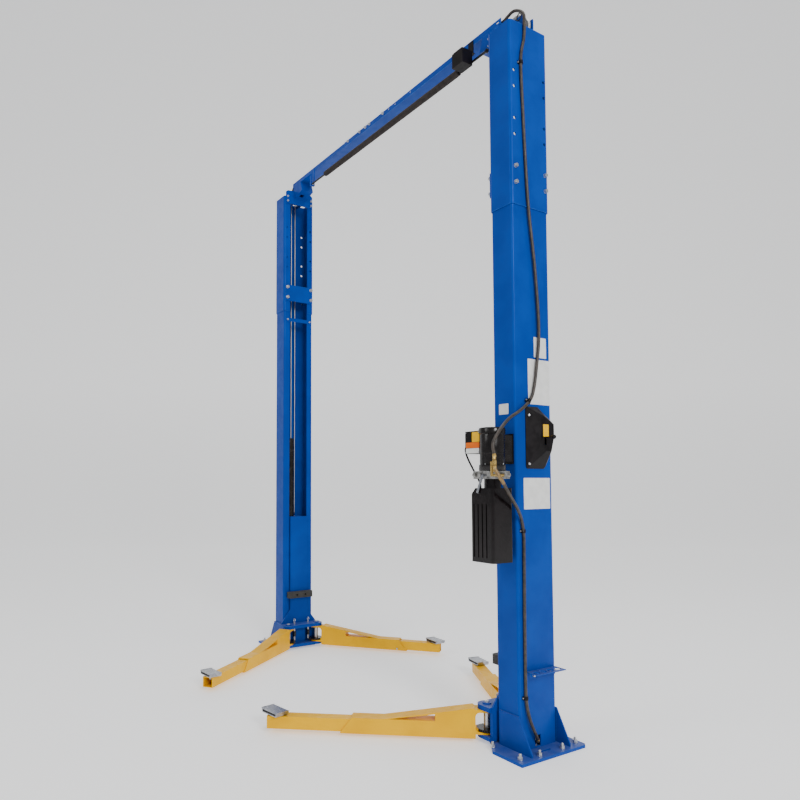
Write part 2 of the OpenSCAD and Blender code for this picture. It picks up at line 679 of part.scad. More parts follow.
color("royalblue") column();  // column_near
color("royalblue") at_side(-1) column();  // column_far
color("steelblue") extension();  // extension_near
color("steelblue") at_side(-1) extension();  // extension_far
color("royalblue") bridge();  // bridge_near
color("royalblue") at_side(-1) bridge();  // bridge_far
color("royalblue") head();  // head_near
color("royalblue") at_side(-1) head();  // head_far
color("silver") sheaves();  // sheaves_near
color("silver") at_side(-1) sheaves();  // sheaves_far
beam_near();
beam_far();
switch_box();
shutoff_bar();
shutoff_foam();
cable(cable_y[0]);  // cable_a
cable(cable_y[1]);  // cable_b
color("silver") rod();  // rod_near
color("silver") at_side(-1) rod();  // rod_far
color("black") cylinder_body();  // cylinder_near
color("black") at_side(-1) cylinder_body();  // cylinder_far
color("royalblue") carriage();  // carriage_near
color("royalblue") at_side(-1) carriage();  // carriage_far
color("black") guard();  // guard_near
color("black") at_side(-1) guard();  // guard_far
color("silver") pivot_pins();  // pins_near
color("silver") at_side(-1) pivot_pins();  // pins_far
color("gold") at_pivot(1, -1, swing[0]) arm_outer();  // arm_near_front
color("gold") at_pivot(1, 1, swing[3]) arm_outer();  // arm_near_rear
color("gold") at_pivot(-1, -1, swing[2]) arm_outer();  // arm_far_front
color("gold") at_pivot(-1, 1, swing[1]) arm_outer();  // arm_far_rear
color("gold") at_pivot(1, -1, swing[0]) arm_inner(tip_front);  // reach_near_front
color("gold") at_pivot(1, 1, swing[3]) arm_inner(tip_rear);  // reach_near_rear
color("gold") at_pivot(-1, -1, swing[2]) arm_inner(tip_front);  // reach_far_front
color("gold") at_pivot(-1, 1, swing[1]) arm_inner(tip_rear);  // reach_far_rear
pad(1, -1, swing[0], tip_front, pad_turn[0]);  // pad_near_front
pad(1, 1, swing[3], tip_rear, pad_turn[3]);  // pad_near_rear
pad(-1, -1, swing[2], tip_front, pad_turn[2]);  // pad_far_front
pad(-1, 1, swing[1], tip_rear, pad_turn[1]);  // pad_far_rear
color("silver") restraint(-1);  // restraint_near_front
color("silver") restraint(1);  // restraint_near_rear
color("silver") at_side(-1) restraint(-1);  // restraint_far_front
color("silver") at_side(-1) restraint(1);  // restraint_far_rear
unit_bracket();
motor();
motor_box();
valve_block();
tank();
pump_lever();
release_cover();
release_lever();
adapter_rack();
hose_up();
hose_down();
hose_tee();
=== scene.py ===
# %% [markdown]
# Two post car lift, in a plain studio.
# The steelwork comes from the CAD model as a fixed frame. This notebook dresses it: it gives each
# part its paint, metal or rubber, and adds the small things a real lift carries, such as bolts,
# hoses, clips, plates and the ribs of the motor. All lengths are metres, Z is up, and the origin
# is on the floor midway between the two columns.

# %% Load the frame
import bpy
import math
import numpy as np
from mathutils import Matrix, Vector


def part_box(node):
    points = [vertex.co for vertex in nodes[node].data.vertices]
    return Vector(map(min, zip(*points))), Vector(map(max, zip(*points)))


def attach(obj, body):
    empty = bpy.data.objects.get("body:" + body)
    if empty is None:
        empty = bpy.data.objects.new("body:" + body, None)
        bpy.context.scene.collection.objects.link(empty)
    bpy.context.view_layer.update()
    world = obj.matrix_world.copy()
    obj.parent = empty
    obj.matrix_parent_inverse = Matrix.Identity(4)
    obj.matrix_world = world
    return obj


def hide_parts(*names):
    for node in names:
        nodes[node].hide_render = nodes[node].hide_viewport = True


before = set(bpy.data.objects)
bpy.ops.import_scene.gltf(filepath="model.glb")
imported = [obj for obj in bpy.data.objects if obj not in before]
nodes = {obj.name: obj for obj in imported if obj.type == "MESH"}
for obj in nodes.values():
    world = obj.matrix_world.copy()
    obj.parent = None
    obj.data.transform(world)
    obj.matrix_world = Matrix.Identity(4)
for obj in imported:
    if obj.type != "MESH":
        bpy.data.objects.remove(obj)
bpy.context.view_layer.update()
scene = bpy.context.scene
print("frame loaded:", len(nodes), "parts")

# %% [markdown]
# The camera stands off the power unit's corner at chest height, a little under 4 m from the near
# column, and looks along the lift so that the far column shows smaller. The lens tips up by 3
# degrees, and a small shift of the sensor does what a photographer's crop does.

# %% Camera
YAW, PITCH, ROLL = (math.radians(a) for a in (57.803, 3.013, -0.07))
FOCAL_PX, CENTRE_PX, PICTURE, SENSOR = 670.6, (344.28, 445.85), 800, 36
STAND = (3.8921, -2.7626, 1.4012)
forward = Vector((-math.sin(YAW) * math.cos(PITCH), math.cos(YAW) * math.cos(PITCH), math.sin(PITCH)))
level = Vector((math.cos(YAW), math.sin(YAW), 0))
upward = level.cross(forward)
across = math.cos(ROLL) * level + math.sin(ROLL) * upward
upward = -math.sin(ROLL) * level + math.cos(ROLL) * upward
camera = bpy.data.objects.new("camera", bpy.data.cameras.new("camera"))
camera.data.sensor_width = SENSOR
camera.data.lens = SENSOR * FOCAL_PX / PICTURE
camera.data.shift_x = (PICTURE / 2 - CENTRE_PX[0]) / PICTURE
camera.data.shift_y = (CENTRE_PX[1] - PICTURE / 2) / PICTURE
camera.data.clip_end = 100
place = Matrix((across, upward, -forward)).transposed().to_4x4()
place.translation = STAND
camera.matrix_world = place
scene.collection.objects.link(camera)
scene.camera = camera
print("lens", round(camera.data.lens, 2), "mm")

# %% [markdown]
# Most new pieces are skins: rings of points laid one after another, like the hoops of a barrel.
# One helper turns an array of rings into a closed mesh, so each piece only has to say where its
# rings are.

# %% Rings to mesh
def skin(name, rings, material, body="frame", sharp=40, closed=True):
    """A closed surface through rings[k, m, n]: k pieces, m rings each, n points round a ring.
    Face (i, j) joins points j and j + 1 of ring i with those of ring i + 1."""
    rings = np.asarray(rings, float)
    rings = rings[None] if rings.ndim == 3 else rings
    k, m, n, _ = rings.shape
    a, i, j = np.meshgrid(np.arange(k), np.arange(m - 1), np.arange(n), indexing="ij")
    at = lambda row, col: (a * m + row) * n + col % n
    quads = np.stack([at(i, j), at(i, j + 1), at(i + 1, j + 1), at(i + 1, j)], -1)
    faces = quads.reshape(-1, 4).tolist()
    if closed:
        start = np.arange(k)[:, None] * m * n + np.arange(n)
        faces += start[:, ::-1].tolist() + (start + (m - 1) * n).tolist()
    mesh = bpy.data.meshes.new(name)
    mesh.from_pydata(rings.reshape(-1, 3), [], faces)
    mesh.shade_smooth()
    mesh.set_sharp_from_angle(angle=math.radians(sharp))
    mesh.materials.append(material)
    piece = bpy.data.objects.new(name, mesh)
    scene.collection.objects.link(piece)
    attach(piece, body)
    return piece


def basis(axis):
    """Two unit vectors u, v with u x v = axis, so that a ring u cos + v sin turns round the axis."""
    axis = np.asarray(axis, float) / np.linalg.norm(axis)
    u = np.cross([0, 0, 1.0] if abs(axis[2]) < 0.9 else [1.0, 0, 0], axis)
    u /= np.linalg.norm(u)
    return u, np.cross(axis, u), axis


def turned(profile, at, axis, n=24, shape=None):
    """Rings of a lathe: a point (r, h) of the profile goes to at + h axis + r (u cos t + v sin t).
    shape(t, i) may scale the radius round the ring, for hexagons and fins."""
    p = np.asarray(profile, float)
    u, v, w = basis(axis)
    t = np.linspace(0, 2 * np.pi, n, endpoint=False)
    radius = p[:, :1] * (np.ones((len(p), n)) if shape is None else shape(t, len(p)))
    ring = radius[..., None] * (np.cos(t)[:, None] * u + np.sin(t)[:, None] * v)
    seats = np.atleast_2d(np.asarray(at, float))
    return seats[:, None, None] + ring[None] + (p[:, 1, None] * w)[None, :, None]


def rounded(w, h, r, n=6):
    """Outline of a w by h rectangle with corners of radius r: four quarter circles in turn."""
    t = np.linspace(0, np.pi / 2, n)
    quarter = np.arange(4)[:, None] * np.pi / 2 + t
    centre = np.array([[1, 1], [-1, 1], [-1, -1], [1, -1]]) * [w / 2 - r, h / 2 - r]
    return (centre[:, None] + r * np.stack([np.cos(quarter), np.sin(quarter)], -1)).reshape(-1, 2)


def pressed(w, h, r, layers, at, axis, up=(0, 0, 1)):
    """Rings of a plate with a rounded outline: each layer (inset, height) is one ring."""
    axis = np.asarray(axis, float)
    v = np.asarray(up, float)
    u = np.cross(v, axis)
    plane = np.stack([u, v])
    rings = [rounded(w - 2 * i, h - 2 * i, max(r - i, 0.0002)) @ plane + z * axis for i, z in layers]
    return np.asarray(rings) + np.asarray(at, float)


print("helpers ready: skin, turned, rounded, pressed")

# %% [markdown]
# Powder coat is never one flat colour. It lies thick and slightly wavy (orange peel), it is a
# touch darker where it pooled, its edges carry a painted highlight (a paler band standing in for
# light caught on the corners), and dust settles on it. Each of these effects is one node group, so
# that every paint shares them with its own values.

# %% Node groups
def group(name, inputs, outputs):
    """An empty shader group with named float, colour or vector sockets."""
    tree = bpy.data.node_groups.new(name, "ShaderNodeTree")
    for kind, sockets in (("INPUT", inputs), ("OUTPUT", outputs)):
        for label, (form, value) in sockets.items():
            s = tree.interface.new_socket(label, in_out=kind, socket_type="NodeSocket" + form)
            if value is not None:
                s.default_value = value
    return tree, tree.nodes.new("NodeGroupInput"), tree.nodes.new("NodeGroupOutput")


def add(tree, kind, links=(), **settings):
    """Adds a node: settings are its properties or input values, links its incoming wires."""
    node = tree.nodes.new("ShaderNode" + kind)
    for key, value in settings.items():
        if hasattr(node, key):
            setattr(node, key, value)
        else:
            node.inputs[key.replace("_", " ")].default_value = value
    for socket, source in dict(links).items():
        tree.links.new(source, node.inputs[socket])
    return node


def mottle_group():
    """Soft blotches: four octaves of noise in metres, mapped to 0..1 between Low and High."""
    inputs = {"Vector": ("Vector", None), "Scale": ("Float", 6.0), "Low": ("Float", 0.35),
              "High": ("Float", 0.65)}
    tree, gin, out = group("mottle", inputs, {"Value": ("Float", None)})
    noise = add(tree, "TexNoise", {"Vector": gin.outputs["Vector"], "Scale": gin.outputs["Scale"]},
                Detail=4.0)
    ramp = add(tree, "MapRange", {"Value": noise.outputs["Fac"], "From Min": gin.outputs["Low"],
                                  "From Max": gin.outputs["High"]}, interpolation_type="SMOOTHSTEP")
    tree.links.new(ramp.outputs["Result"], out.inputs["Value"])
    return tree


def edge_group():
    """Mask of a box's edges, along which the paint is lightened as a painted highlight. With d the
    distance to the nearer face along each axis, an edge is where the two smallest of the three d
    are both small: their sum is sum(d) - max(d)."""
    inputs = {"Vector": ("Vector", None), "Low": ("Vector", None), "High": ("Vector", None),
              "Width": ("Float", 0.004), "Raggedness": ("Float", 0.004)}
    tree, gin, out = group("painted edge highlight", inputs, {"Mask": ("Float", None)})
    far = []
    for corner in ("Low", "High"):
        gap = add(tree, "VectorMath", {0: gin.outputs["Vector"], 1: gin.outputs[corner]},
                  operation="SUBTRACT")
        far.append(add(tree, "VectorMath", {0: gap.outputs[0]}, operation="ABSOLUTE").outputs[0])
    near = add(tree, "VectorMath", {0: far[0], 1: far[1]}, operation="MINIMUM")
    d = add(tree, "SeparateXYZ", {0: near.outputs[0]})
    x, y, z = d.outputs
    xy = add(tree, "Math", {0: x, 1: y}, operation="ADD")
    total = add(tree, "Math", {0: xy.outputs[0], 1: z}, operation="ADD")
    most = add(tree, "Math", {0: x, 1: y}, operation="MAXIMUM")
    most = add(tree, "Math", {0: most.outputs[0], 1: z}, operation="MAXIMUM")
    pair = add(tree, "Math", {0: total.outputs[0], 1: most.outputs[0]}, operation="SUBTRACT")
    noise = add(tree, "TexNoise", {"Vector": gin.outputs["Vector"]}, Scale=60.0, Detail=5.0)
    rag = add(tree, "Math", {0: noise.outputs["Fac"], 1: gin.outputs["Raggedness"], 2: pair.outputs[0]},
              operation="MULTIPLY_ADD")
    mask = add(tree, "MapRange", {"Value": rag.outputs[0], "From Min": gin.outputs["Width"]},
               interpolation_type="SMOOTHSTEP")
    mask.inputs["From Max"].default_value = 0.0
    tree.links.new(mask.outputs["Result"], out.inputs["Mask"])
    return tree


def peel_group():
    """Height of a sprayed or moulded skin: fine round noise plus a slower wave."""
    tree, gin, out = group("skin relief", {"Vector": ("Vector", None), "Scale": ("Float", 320.0)},
                           {"Height": ("Float", None)})
    fine = add(tree, "TexNoise", {"Vector": gin.outputs["Vector"], "Scale": gin.outputs["Scale"]},
               Detail=2.0)
    slow = add(tree, "TexNoise", {"Vector": gin.outputs["Vector"]}, Scale=25.0, Detail=1.0)
    total = add(tree, "Math", {0: slow.outputs["Fac"], 2: fine.outputs["Fac"]}, operation="MULTIPLY_ADD")
    total.inputs[1].default_value = 0.8
    tree.links.new(total.outputs[0], out.inputs["Height"])
    return tree


def dust_group():
    """Dust lies on what faces up: mask = share of the normal above 0.3, times noise, times Amount."""
    tree, gin, out = group("dust", {"Vector": ("Vector", None), "Amount": ("Float", 0.3)},
                           {"Mask": ("Float", None)})
    normal = add(tree, "SeparateXYZ", {0: add(tree, "NewGeometry").outputs["Normal"]})
    up = add(tree, "MapRange", {"Value": normal.outputs[2]}, interpolation_type="SMOOTHSTEP")
    up.inputs["From Min"].default_value, up.inputs["From Max"].default_value = 0.3, 1.0
    noise = add(tree, "TexNoise", {"Vector": gin.outputs["Vector"]}, Scale=14.0, Detail=5.0)
    spread = add(tree, "Math", {0: up.outputs["Result"], 1: noise.outputs["Fac"]}, operation="MULTIPLY")
    mask = add(tree, "Math", {0: spread.outputs[0], 1: gin.outputs["Amount"]}, operation="MULTIPLY")
    tree.links.new(mask.outputs[0], out.inputs["Mask"])
    return tree


mottle, edges, relief, dust = mottle_group(), edge_group(), peel_group(), dust_group()
print("node groups:", [g.name for g in bpy.data.node_groups])

# %% [markdown]
# A finish puts the groups together. Every finish has the same bones: a base colour that drifts
# between two tones, an edge colour painted as a highlight, dust, a roughness that follows the
# blotches, and a relief.
# What differs is the numbers, so one function builds them all.

# %% Finishes
def placed(tree, name, values, vector):
    """A group node in a material, with its own values and the object position wired in."""
    node = tree.nodes.new("ShaderNodeGroup")
    node.node_tree = {"mottle": mottle, "edge": edges, "relief": relief, "dust": dust}[name]
    tree.links.new(vector, node.inputs["Vector"])
    for key, value in values.items():
        node.inputs[key].default_value = value
    return node.outputs[0]


def blend(tree, amount, a, b):
    """Mix of two colours by a mask; a and b are sockets or plain colours."""
    node = tree.nodes.new("ShaderNodeMix")
    node.data_type = "RGBA"
    tree.links.new(amount, node.inputs["Factor"])
    for slot_name, value in ((6, a), (7, b)):
        if isinstance(value, tuple):
            node.inputs[slot_name].default_value = (*value, 1)
        else:
            tree.links.new(value, node.inputs[slot_name])
    return node.outputs[2]


def finish(name, tone, deep, edge=None, box=None, turn=None, rough=(0.3, 0.42), scale=5.0, peel=320.0,
           bump=0.02, dusty=0.25, edge_width=0.004, dust_tone=(0.42, 0.40, 0.37), **shader):
    """One finished surface. tone and deep are the two colours it drifts between, edge the paler colour
    painted as a highlight along its edges inside box, and shader the constants of the Principled BSDF."""
    material = bpy.data.materials.new(name)
    material.use_nodes = True
    tree = material.node_tree
    body = tree.nodes["Principled BSDF"]
    where = add(tree, "TexCoord").outputs["Object"]
    spot = where
    if turn is not None:
        centre, angle = turn
        turned_frame = add(tree, "Mapping", {"Vector": where}, vector_type="TEXTURE", Location=(*centre, 0),
                           Rotation=(0, 0, angle))
        spot = turned_frame.outputs[0]
    blotch = placed(tree, "mottle", {"Scale": scale}, where)
    colour = blend(tree, blotch, tone, deep)
    if edge is not None:
        # Painted highlight: the edges of the box are lightened towards the edge colour.
        values = {"Low": box[0], "High": box[1], "Width": edge_width, "Raggedness": edge_width}
        highlight_mask = placed(tree, "edge", values, spot)
        colour = blend(tree, highlight_mask, colour, edge)
    if dusty:
        colour = blend(tree, placed(tree, "dust", {"Amount": dusty}, where), colour, dust_tone)
    tree.links.new(colour, body.inputs["Base Color"])
    gloss = add(tree, "MapRange", {"Value": placed(tree, "mottle", {"Scale": scale * 4}, where)})
    gloss.inputs["To Min"].default_value, gloss.inputs["To Max"].default_value = rough
    tree.links.new(gloss.outputs["Result"], body.inputs["Roughness"])
    height = placed(tree, "relief", {"Scale": peel}, spot)
    lift = add(tree, "Bump", {"Height": height}, Strength=1.0, Distance=bump / 100)
    tree.links.new(lift.outputs["Normal"], body.inputs["Normal"])
    for key, value in shader.items():
        body.inputs[key.replace("_", " ")].default_value = value
    return material


def corners(node, turn=None):
    """Lowest and highest corner of a part, measured in its own turned frame."""
    mesh = nodes[node].data
    flat = np.empty(len(mesh.vertices) * 3)
    mesh.vertices.foreach_get("co", flat)
    p = flat.reshape(-1, 3)
    if turn is not None:
        (cx, cy), a = turn
        d = p[:, :2] - [cx, cy]
        p = np.column_stack([d @ [math.cos(a), math.sin(a)], d @ [-math.sin(a), math.cos(a)], p[:, 2]])
    return p.min(0), p.max(0)


def paint(node, colours, box=None, turn=None, coat_weight=0.03, **more):
    """Gives a CAD part a powder coat whose painted edge highlight follows its own box."""
    tone, deep, edge, tint = colours
    box = corners(node, turn) if box is None else box
    coat = finish(node + "_coat", tone, deep, edge, box, turn, Coat_Weight=coat_weight, Coat_Roughness=0.15,
                  Specular_IOR_Level=0.17, Specular_Tint=tint, **more)
    wear_it(node, coat)


def wear_it(node, material):
    """Puts one material on every slot of a CAD part."""
    slots = nodes[node].material_slots
    for s in slots:
        s.material = material
    if not slots:
        nodes[node].data.materials.append(material)


# Each powder coat: its tone, the deeper tone where it pooled, the paler colour of its painted edge highlight,
# and its reflection tint.
blue = ((0.0022, 0.052, 0.340), (0.0016, 0.042, 0.290), (0.05, 0.21, 0.66), (0.25, 0.5, 1.0, 1))
yellow = ((0.88, 0.47, 0.0), (0.80, 0.41, 0.0), (0.95, 0.60, 0.0), (1.0, 0.6, 0.02, 1))
print("finish ready")

# %% [markdown]
# The columns, sleeves, beams and carriages share one blue. Their boxes are given where a
# part carries a foot or a bracket, so that the painted highlight runs along the folded corners of the
# channel and not round the outside of the foot.

# %% Blue steelwork
COLUMN_BACK, COLUMN_SIDE, SLEEVE_BACK, LIP_FACE = 1.405, 0.1375, 1.4114, 1.2356
CHANNELS = (("column", 1.250, COLUMN_BACK, COLUMN_SIDE, -1, 3.2),
            ("extension", 1.2436, SLEEVE_BACK, 0.1439, 2.882, 3.9))
SIDES = (("near", 1), ("far", -1))
for side, sign in SIDES:
    for part, slot_x, back_x, half, low_z, high_z in CHANNELS:
        x = sorted((sign * slot_x, sign * back_x))
        box = ((x[0], -half, low_z), (x[1], half, high_z))
        paint(f"{part}_{side}", blue, box=box, edge_width=0.0055)
    for part in ("bridge", "head", "beam", "carriage"):
        paint(f"{part}_{side}", blue)
paint("adapter_rack", blue)
print("blue parts painted")

# %% [markdown]
# Each arm lies at its own angle, so its paint is worked out in the arm's own turned frame: the
# painted edge highlight then follows the arm's long corners.

# %% Yellow arms
SWING = {"near_front": 51.2, "far_rear": 39.9, "far_front": 53.8, "near_rear": 30.1}
PIVOT = (1.165, 0.133)
arm_turn = {}
for key, angle in SWING.items():
    side, row = (1 if "near" in key else -1), (-1 if "front" in key else 1)
    heading = math.atan2(row * math.sin(math.radians(angle)), -side * math.cos(math.radians(angle)))
    arm_turn[key] = ((side * PIVOT[0], row * PIVOT[1]), heading)
    for part in ("arm", "reach"):
        paint(f"{part}_{key}", yellow, turn=arm_turn[key], coat_weight=0.0, dusty=0.0)
print("arms painted:", list(arm_turn))

# %% [markdown]
# Zinc is bright but soft: a dull grey metal with a faint crystal pattern. Castings are darker and
# pitted, rubber is nearly black and soaks up light, and mouldings have a fine leathery grain.

# %% Metals, rubber and plastics
zinc = finish("zinc", (0.62, 0.63, 0.64), (0.48, 0.49, 0.51),
              rough=(0.26, 0.44), scale=90.0, peel=500.0, dusty=0.15, Metallic=0.9)
wire = finish("stranded_wire", (0.80, 0.79, 0.76), (0.42, 0.41, 0.40),
              rough=(0.35, 0.5), scale=420.0, peel=600.0, bump=0.06, dusty=0.1, Metallic=0.9)
chrome = finish("chrome", (0.78, 0.78, 0.80), (0.70, 0.70, 0.72),
                rough=(0.06, 0.14), scale=12.0, bump=0.002, dusty=0.05, Metallic=1.0)
cast = finish("cast_alloy", (0.46, 0.455, 0.44), (0.26, 0.255, 0.245),
              rough=(0.26, 0.44), scale=70.0, peel=240.0, bump=0.06, dusty=0.0, Metallic=0.95)
pressing = finish("bright_pressing", (0.42, 0.43, 0.46), (0.28, 0.29, 0.32),
                  rough=(0.24, 0.38), scale=40.0, peel=500.0, dusty=0.05, Metallic=0.95)
orange = finish("orange_plate", (0.80, 0.16, 0.01), (0.74, 0.13, 0.01),
                rough=(0.4, 0.55), scale=20.0, dusty=0.0, Specular_Tint=(1.0, 0.4, 0.05, 1))
brass = finish("brass", (0.60, 0.42, 0.14), (0.46, 0.30, 0.09),
               rough=(0.22, 0.4), scale=70.0, dusty=0.1, Metallic=0.95)
rubber = finish("rubber", (0.018, 0.017, 0.017), (0.030, 0.028, 0.027),
                rough=(0.55, 0.75), scale=30.0, peel=420.0, bump=0.05, dusty=0.12)
foam = finish("foam", (0.012, 0.008, 0.007), (0.026, 0.018, 0.015),
              rough=(0.8, 0.95), scale=45.0, peel=260.0, bump=0.2, dusty=0.1)
plastic = finish("moulded_plastic", (0.0045, 0.0035, 0.004), (0.009, 0.007, 0.008),
                 rough=(0.3, 0.46), scale=12.0, peel=700.0, bump=0.012, dusty=0.0,
                 Specular_IOR_Level=0.15)
enamel = finish("black_enamel", (0.005, 0.004, 0.004), (0.011, 0.009, 0.009),
                rough=(0.16, 0.28), scale=10.0, bump=0.005, dusty=0.0, Specular_IOR_Level=0.32)
gloss = finish("glossy_moulding", (0.0045, 0.0030, 0.0034), (0.009, 0.0065, 0.007),
               rough=(0.12, 0.2), scale=9.0, peel=420.0, bump=0.006, dusty=0.0, Specular_IOR_Level=0.28)
sheath = finish("hose_sheath", (0.022, 0.016, 0.012), (0.050, 0.037, 0.028),
                rough=(0.35, 0.5), scale=55.0, peel=900.0, bump=0.03, dusty=0.1)
ivory = finish("blank_plate", (0.80, 0.80, 0.78), (0.72, 0.72, 0.70),
               rough=(0.35, 0.5), scale=20.0, dusty=0.0)
amber = finish("amber_plate", (0.90, 0.50, 0.0), (0.82, 0.44, 0.0),
               rough=(0.4, 0.55), scale=20.0, dusty=0.0, Specular_Tint=(1.0, 0.6, 0.02, 1))

for material, names in ((zinc, ["sheaves_near", "sheaves_far", "pins_near", "pins_far"]),
                        (wire, ["cable_a", "cable_b"]), (chrome, ["rod_near", "rod_far"]),
                        (enamel, ["cylinder_near", "cylinder_far", "unit_bracket", "motor", "shutoff_bar"]),
                        (plastic, ["switch_box", "motor_box", "release_cover", "release_lever"]),
                        (rubber, ["guard_near", "guard_far"]), (sheath, ["hose_up", "hose_down"]),
                        (gloss, ["tank"]), (foam, ["shutoff_foam"]), (cast, ["valve_block"]),
                        (brass, ["hose_tee"]), (pressing, ["pump_lever"])):
    for name in names:
        wear_it(name, material)
for key in SWING:
    wear_it("pad_" + key, pressing)
    wear_it("restraint_" + key, zinc)
print("finishes on", sum(1 for n in nodes.values() if n.material_slots), "parts")

# %% [markdown]
# A bolt is a washer, a hexagon head with its corners turned off, and nothing else shows. All bolts
# of one kind on one body are made in a single array.

# %% Bolts
def hexagon(t, m):
    """Radius of a hexagon over its inscribed circle: 1 / cos of the angle to the nearest flat."""
    flat = 1 / np.cos((t + np.pi / 6) % (np.pi / 3) - np.pi / 6)
    scale = np.ones((m, len(t)))
    scale[2:-2] = flat
    scale[-2] = np.minimum(flat, 1.09)
    return scale


def bolts(name, seats, axis, flats, body="frame", material=None, washer=1.15, head=0.62):
    """Bolt heads across their flats, one at each seat, standing on washers along the axis."""
    r, w = flats / 2, flats * 0.09
    h = w + flats * head
    profile = [(r * washer, -0.0006), (r * washer, w), (r, w), (r, h - r * 0.16), (r, h - r * 0.05),
               (r * 0.84, h)]
    rings = turned(profile, seats, axis, 36, hexagon)
    return skin(name, rings, material or zinc, body, sharp=28)


UP, OUT, FRONT = (0, 0, 1), (1, 0, 0), (0, -1, 0)
BASE_T = 0.016
ANCHORS = [(x, s * y) for x, y in ((1.280, 0.205), (1.470, 0.205), (1.487, 0.085)) for s in (-1, 1)]
SHANK = [(0.0070, 0.001), (0.0070, 0.044), (0.0056, 0.046)]


def rows(sign, x, half, heights):
    """Seats on one face of a column: a pair at half to each side, at every height."""
    return [(sign * x, y, z) for z in heights for y in (-half, half)]


for side, sign in SIDES:
    bolts(f"anchor_bolts_{side}", [(sign * x, y, BASE_T) for x, y in ANCHORS], UP, 0.023)
    studs = turned(SHANK, [(sign * x, y, 0) for x, y in ANCHORS], UP, 24)
    skin(f"anchor_studs_{side}", studs, zinc)
    out, into = (sign, 0, 0), (-sign, 0, 0)
    bolts(f"sleeve_bolts_back_{side}", rows(sign, SLEEVE_BACK, 0.115, (3.000, 3.089)), out, 0.020)
    bolts(f"sleeve_bolts_lip_{side}", rows(sign, LIP_FACE, 0.115, (3.000, 3.089)), into, 0.024)
    bolts(f"head_bolts_{side}", rows(sign, LIP_FACE, 0.115, (3.855, 3.895)), into, 0.016)
    bolts(f"strap_bolts_{side}", rows(sign, 1.245, 0.108, (2.807,)), into, 0.014)
bolts("beam_bolts", [(x, -0.055, 4.012) for x in (-0.345, -0.185, -0.108, -0.054, 0.116)], FRONT, 0.017)
bolts("rack_bolts", [(1.409, y, 0.389) for y in (-0.034, 0.088)], OUT, 0.013)
for end, z in (("top", 1.749), ("low", 1.492)):
    _, seat, normal, _ = nodes["release_cover"].ray_cast((1.60, -0.050, z), (-1, 0, 0))
    bolts("cover_screw_" + end, [seat], normal, 0.010)
bolts("bracket_bolt", [(1.379, -COLUMN_SIDE, 1.522)], FRONT, 0.013)
print("bolts placed")

# %% [markdown]
# Blank plates stand where a lift carries its capacity and safety plates. They are thin pressed
# tin with rounded corners and a pillowed edge, and they carry no words.

# %% Blank plates
def plate(name, at, w, h, axis, material, thick=0.0012, r=0.004):
    layers = [(0, -0.0003), (0, thick * 0.6), (thick * 0.4, thick)]
    return skin(name, pressed(w, h, r, layers, at, axis), material)


BOX_FRONT = -0.309
for name, y0, y1, z0, z1 in (("plate_top", 0.011, 0.106, 2.066, 2.177),
                             ("plate_middle", -0.038, 0.128, 1.811, 2.055),
                             ("plate_low", -0.082, 0.118, 1.252, 1.417)):
    plate(name, (COLUMN_BACK, (y0 + y1) / 2, (z0 + z1) / 2), y1 - y0, z1 - z0, OUT, ivory)
plate("plate_side", (1.324, -COLUMN_SIDE, 1.7845), 0.068, 0.057, FRONT, ivory)
plate("cover_plate", (1.457, 0.036, 1.668), 0.042, 0.066, OUT, amber)
plate("box_plate_top", (1.288, BOX_FRONT, 1.632), 0.054, 0.052, FRONT, amber)
plate("box_plate_mid", (1.264, BOX_FRONT, 1.5895), 0.100, 0.030, FRONT, orange)
plate("box_plate_low", (1.264, BOX_FRONT, 1.560), 0.100, 0.026, FRONT, ivory)
print("plates placed")

# %% [markdown]
# Hoses and wires are a circle carried along a smooth curve. The curve runs through a few named
# points (a Catmull-Rom spline), and the circle's frame is carried along without twisting.

# %% Hoses and wires
def smooth_path(points, per=8):
    """Catmull-Rom through the points: on each span, a cubic whose end slopes are half the chord
    between the neighbours."""
    p = np.asarray(points, float)
    p = np.vstack([2 * p[0] - p[1], p, 2 * p[-1] - p[-2]])
    t = np.linspace(0, 1, per, endpoint=False)[None, :, None]
    a, b, c, d = (p[i:len(p) - 3 + i, None] for i in range(4))
    square, cube = 2 * a - 5 * b + 4 * c - d, 3 * b - a - 3 * c + d
    span = 0.5 * (2 * b + (c - a) * t + square * t**2 + cube * t**3)
    return np.vstack([span.reshape(-1, 3), p[-2]])


def swept(path, radius, n=14):
    """Rings round a path: the frame at each step is the last one, made square to the new direction."""
    path = np.asarray(path, float)
    way = np.gradient(path, axis=0)
    way /= np.linalg.norm(way, axis=1, keepdims=True)
    u = basis(way[0])[0]
    frames = []
    for w in way:
        u = u - (u @ w) * w
        u = u / np.linalg.norm(u)
        frames.append((u, np.cross(w, u)))
    f = np.asarray(frames)
    t = np.linspace(0, 2 * np.pi, n, endpoint=False)
    r = np.broadcast_to(radius, len(path))[:, None, None]
    ring = np.cos(t)[:, None] * f[:, None, 0] + np.sin(t)[:, None] * f[:, None, 1]
    return path[:, None] + r * ring


HOSE = 0.0085
SKIN, BEAM = SLEEVE_BACK + HOSE, 3.990
FACE, TRAY = SKIN - 0.0054, BEAM + 0.010 + HOSE
